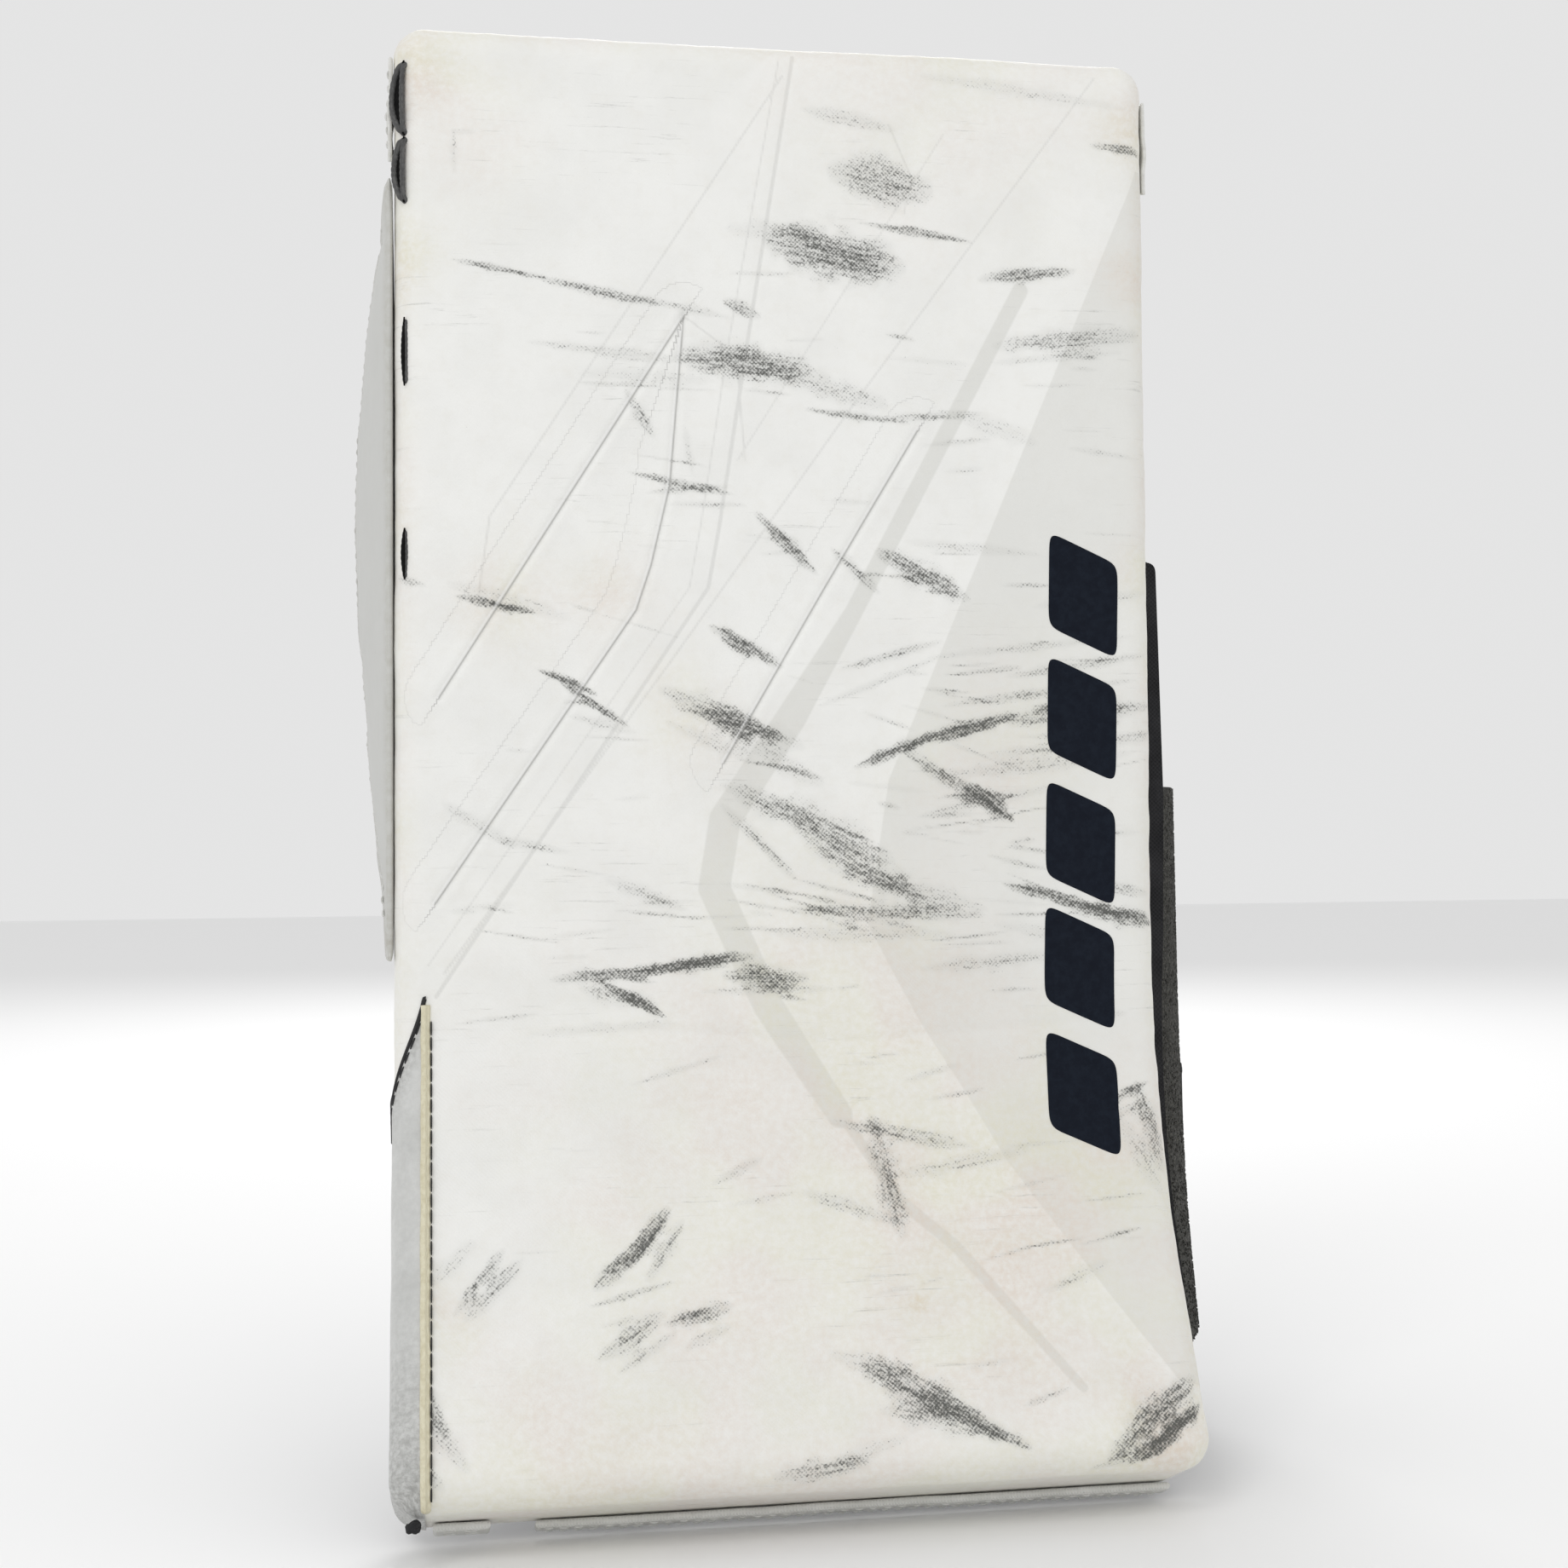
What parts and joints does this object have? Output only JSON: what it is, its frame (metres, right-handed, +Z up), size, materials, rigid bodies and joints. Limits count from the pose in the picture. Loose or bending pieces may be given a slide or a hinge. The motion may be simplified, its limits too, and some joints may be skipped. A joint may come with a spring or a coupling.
{
  "type": "goalie blocker",
  "caption": "Ice hockey goalkeeper's blocker: a bent, padded blocking board with a laced side wrap, and a glove with jointed finger stalls, cuff and strap behind it.",
  "frame": {"origin": "centre of the grip, where the stick's shaft crosses the board's centre line", "axes": "+Z up the board to its finger end, -Y out of the blocking face, +X towards the little finger"},
  "size_m": [0.2469, 0.1788, 0.3867],
  "materials": {
    "face_leather": "off-white synthetic leather with a fine woven grain, scuffed and stained",
    "side_leather": "light grey synthetic leather",
    "foam": "closed-cell foam",
    "stiffener": "flat plastic sheet",
    "black_nylon": "black woven nylon",
    "piping": "cream vinyl piping",
    "binding": "white stitched binding tape",
    "lace": "black woven lace",
    "liner_mesh": "dark grey spacer mesh",
    "palm_leather": "grey suede-like palm material",
    "palm_patch": "dark grey wear patch",
    "stall_fabric": "dark grey nylon and suede",
    "loop_pile": "dark olive-grey loop pile",
    "hook_tape": "black hook tape",
    "strap_webbing": "black webbing"
  },
  "bodies": {
    "root": {"face_skin": "face_leather", "face_foam": "foam", "stiffener_sheet": "stiffener", "rear_foam": "foam", "back_panel": "black_nylon", "side_panel_lower": "side_leather", "edge_piping": "piping", "bottom_binding": "binding", "bottom_tab": "binding", "corner_cap_left": "face_leather", "corner_cap_right": "face_leather", "wrap_lace": "lace", "lace_knot": "lace", "hand_base_panel": "black_nylon", "hand_pad": "liner_mesh", "knuckle_pad": "liner_mesh", "little_finger_guard": "black_nylon", "thumb_guard": "black_nylon", "wrist_pad": "liner_mesh", "palm_panel": "palm_leather", "palm_patch": "palm_patch", "gusset_little": "liner_mesh", "gusset_thumb": "liner_mesh", "cuff_loop_cover": "loop_pile", "cuff_little_core": "foam", "cuff_little_lining": "liner_mesh", "cuff_thumb_cover": "black_nylon", "cuff_thumb_core": "foam", "cuff_thumb_lining": "liner_mesh", "strap_anchor": "strap_webbing"},
    "side_wrap": {"wrap_outer_skin": "face_leather", "wrap_core": "foam", "wrap_lining": "liner_mesh"},
    "strap": {"wrist_strap": "strap_webbing", "strap_hook_patch": "hook_tape"},
    "index_proximal": {"index_stall_proximal": "stall_fabric"},
    "index_distal": {"index_stall_distal": "stall_fabric"},
    "middle_proximal": {"middle_stall_proximal": "stall_fabric"},
    "middle_distal": {"middle_stall_distal": "stall_fabric"},
    "ring_proximal": {"ring_stall_proximal": "stall_fabric"},
    "ring_distal": {"ring_stall_distal": "stall_fabric"},
    "little_proximal": {"little_stall_proximal": "stall_fabric"},
    "little_distal": {"little_stall_distal": "stall_fabric"},
    "thumb_proximal": {"thumb_stall_proximal": "stall_fabric"},
    "thumb_distal": {"thumb_stall_distal": "stall_fabric"}
  },
  "joints": [
    {"name": "index_knuckle", "type": "hinge", "parent": "root", "child": "index_proximal", "pos_m": [-0.0075, -0.046, -0.003], "axis": [-1, 0, 0], "range_deg": [-28, 15]},
    {"name": "index_middle", "type": "hinge", "parent": "index_proximal", "child": "index_distal", "pos_m": [-0.0075, -0.02093, 0.0328], "axis": [-1, 0, 0], "range_deg": [-33.6, 18]},
    {"name": "middle_knuckle", "type": "hinge", "parent": "root", "child": "middle_proximal", "pos_m": [0.0175, -0.046, -0.003], "axis": [-1, 0, 0], "range_deg": [-28, 15]},
    {"name": "middle_middle", "type": "hinge", "parent": "middle_proximal", "child": "middle_distal", "pos_m": [0.0175, -0.0183, 0.03657], "axis": [-1, 0, 0], "range_deg": [-33.6, 18]},
    {"name": "ring_knuckle", "type": "hinge", "parent": "root", "child": "ring_proximal", "pos_m": [0.0425, -0.046, -0.003], "axis": [-1, 0, 0], "range_deg": [-28, 15]},
    {"name": "ring_middle", "type": "hinge", "parent": "ring_proximal", "child": "ring_distal", "pos_m": [0.0425, -0.01962, 0.03468], "axis": [-1, 0, 0], "range_deg": [-33.6, 18]},
    {"name": "little_knuckle", "type": "hinge", "parent": "root", "child": "little_proximal", "pos_m": [0.0675, -0.046, -0.003], "axis": [-1, 0, 0], "range_deg": [-28, 15]},
    {"name": "little_middle", "type": "hinge", "parent": "little_proximal", "child": "little_distal", "pos_m": [0.0675, -0.02384, 0.02865], "axis": [-1, 0, 0], "range_deg": [-33.6, 18]},
    {"name": "thumb_knuckle", "type": "hinge", "parent": "root", "child": "thumb_proximal", "pos_m": [-0.038, -0.042, -0.045], "axis": [-1, 0, 0], "range_deg": [-12, 20]},
    {"name": "thumb_middle", "type": "hinge", "parent": "thumb_proximal", "child": "thumb_distal", "pos_m": [-0.038, -0.02649, -0.00661], "axis": [-1, 0, 0], "range_deg": [-14.4, 24]},
    {"name": "side_wrap_flex", "type": "hinge", "parent": "root", "child": "side_wrap", "pos_m": [-0.1008, -0.1072, 0], "axis": [0, 0, 1], "range_deg": [0, 15], "stiffness_Nm_per_rad": 0.6},
    {"name": "wrist_strap_opening", "type": "hinge", "parent": "root", "child": "strap", "pos_m": [-0.051, -0.04, -0.159], "axis": [0, 0, 1], "range_deg": [0, 95]}
  ],
  "couplings": [
    {"joint": "index_middle", "follows": "index_knuckle", "ratio": 1.2},
    {"joint": "middle_middle", "follows": "middle_knuckle", "ratio": 1.2},
    {"joint": "ring_middle", "follows": "ring_knuckle", "ratio": 1.2},
    {"joint": "little_middle", "follows": "little_knuckle", "ratio": 1.2},
    {"joint": "thumb_middle", "follows": "thumb_knuckle", "ratio": 1.2}
  ]
}
